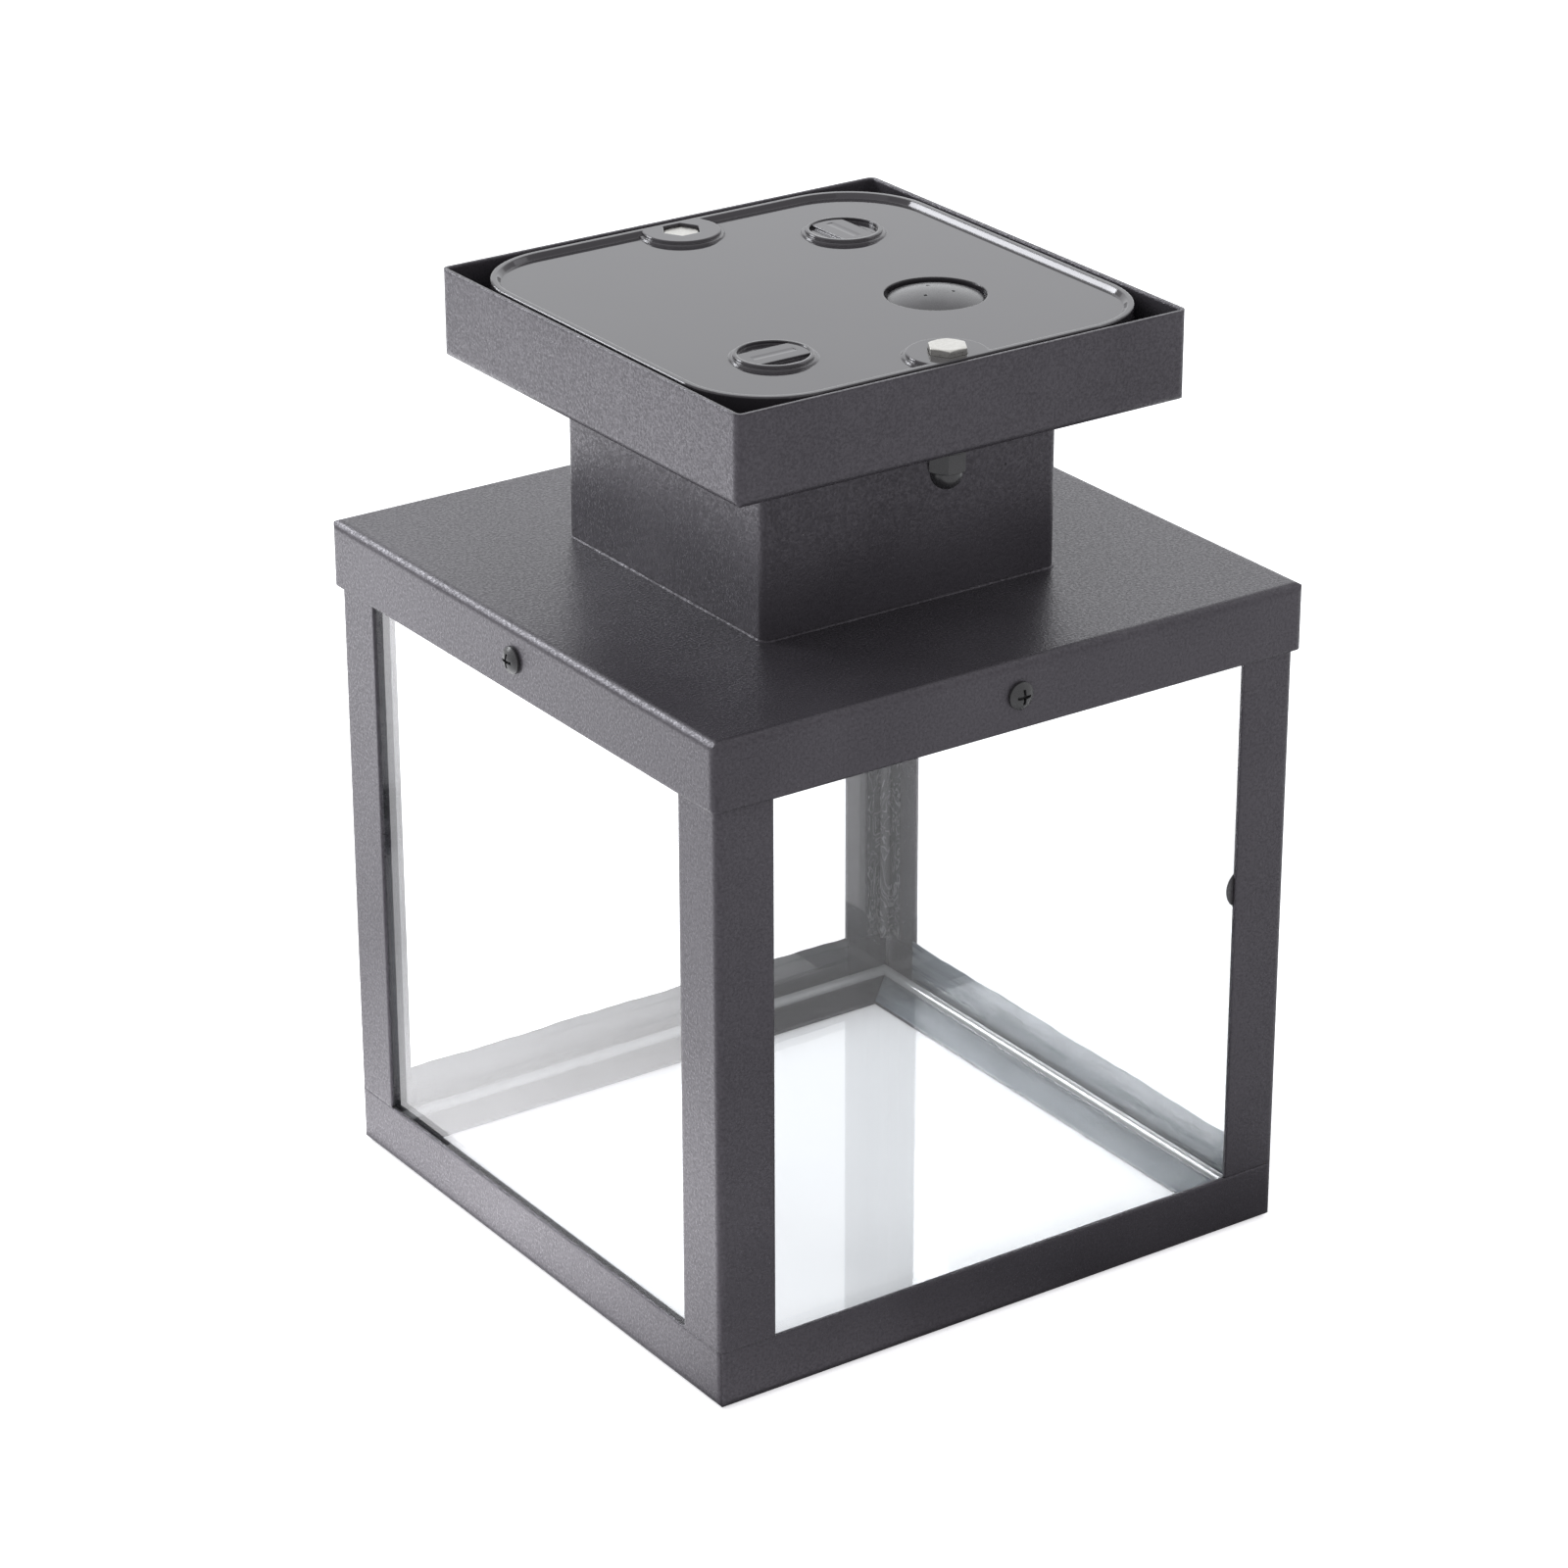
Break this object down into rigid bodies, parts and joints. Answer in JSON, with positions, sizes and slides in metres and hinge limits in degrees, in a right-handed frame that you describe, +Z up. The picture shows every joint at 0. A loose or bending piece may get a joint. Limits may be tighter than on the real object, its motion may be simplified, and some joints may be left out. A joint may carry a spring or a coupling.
{
  "type": "porch ceiling lantern",
  "caption": "Square black ceiling lantern with a glazed cage, a square neck and a box canopy over a plastic ceiling plate.",
  "frame": {"origin": "centre of the cage's underside", "axes": "+Z up to the ceiling, -Y the front side in the picture, +X to the right of it"},
  "size_m": [0.2048, 0.2048, 0.283],
  "materials": {
    "black_powder": "fine textured satin powder coat, black",
    "clear_glass": "clear float glass, polished",
    "clear_sealant": "clear to milky silicone sealant",
    "black_plastic": "gloss moulded black plastic",
    "black_rubber": "soft matt black rubber and silicone",
    "zinc_steel": "bright zinc plating",
    "contact_brass": "bright stamped brass",
    "white_ceramic": "glazed white porcelain, and white moulding of the block",
    "lead_brown": "brown lead insulation",
    "lead_blue": "blue lead insulation",
    "lead_green": "green lead insulation with a yellow stripe"
  },
  "bodies": {
    "lantern": {"bottom_rail_front": "black_powder", "top_rail_front": "black_powder", "pane_front": "clear_glass", "bottom_rail_right": "black_powder", "top_rail_right": "black_powder", "pane_right": "clear_glass", "bottom_rail_back": "black_powder", "top_rail_back": "black_powder", "pane_back": "clear_glass", "bottom_rail_left": "black_powder", "top_rail_left": "black_powder", "pane_left": "clear_glass", "post_front_left": "black_powder", "post_front_right": "black_powder", "post_back_right": "black_powder", "post_back_left": "black_powder", "pane_base": "clear_glass", "corner_sealant": "clear_sealant", "base_sealant": "clear_sealant", "glazing_pads": "black_rubber", "roof_pan": "black_powder", "skirt_screws": "black_powder", "skirt_nuts": "zinc_steel", "neck_tube": "black_powder", "canopy": "black_powder", "ceiling_plate": "black_plastic", "plate_spacers": "black_plastic", "cable_grommet": "black_rubber", "lamp_bracket": "zinc_steel", "bracket_screws": "zinc_steel", "lampholder_body": "white_ceramic", "lampholder_shell": "contact_brass", "lampholder_contact": "contact_brass", "lampholder_nipple": "zinc_steel", "nipple_nut": "zinc_steel", "lead_bush": "black_rubber", "terminal_block": "white_ceramic", "terminal_screws": "contact_brass", "floor_screws": "zinc_steel", "earth_tag": "contact_brass", "lead_live": "lead_brown", "lead_neutral": "lead_blue", "lead_earth": "lead_green"},
    "bolt_front": {"bolt_front": "zinc_steel", "washer_front": "black_powder"},
    "nut_front": {"cap_nut_front": "black_powder"},
    "bolt_back": {"bolt_back": "zinc_steel", "washer_back": "black_powder"},
    "nut_back": {"cap_nut_back": "black_powder"}
  },
  "joints": [
    {"name": "front_bolt_slide", "type": "slide", "parent": "lantern", "child": "bolt_front", "axis": [0, 0, 1], "range_m": [-0.0028, 0]},
    {"name": "front_nut_turn", "type": "hinge", "parent": "bolt_front", "child": "nut_front", "pos_m": [0, -0.065, 0.25], "axis": [0, 0, 1], "continuous": true},
    {"name": "back_bolt_slide", "type": "slide", "parent": "lantern", "child": "bolt_back", "axis": [0, 0, 1], "range_m": [0, 0.0028]},
    {"name": "back_nut_turn", "type": "hinge", "parent": "bolt_back", "child": "nut_back", "pos_m": [0, 0.065, 0.247], "axis": [0, 0, 1], "continuous": true}
  ]
}
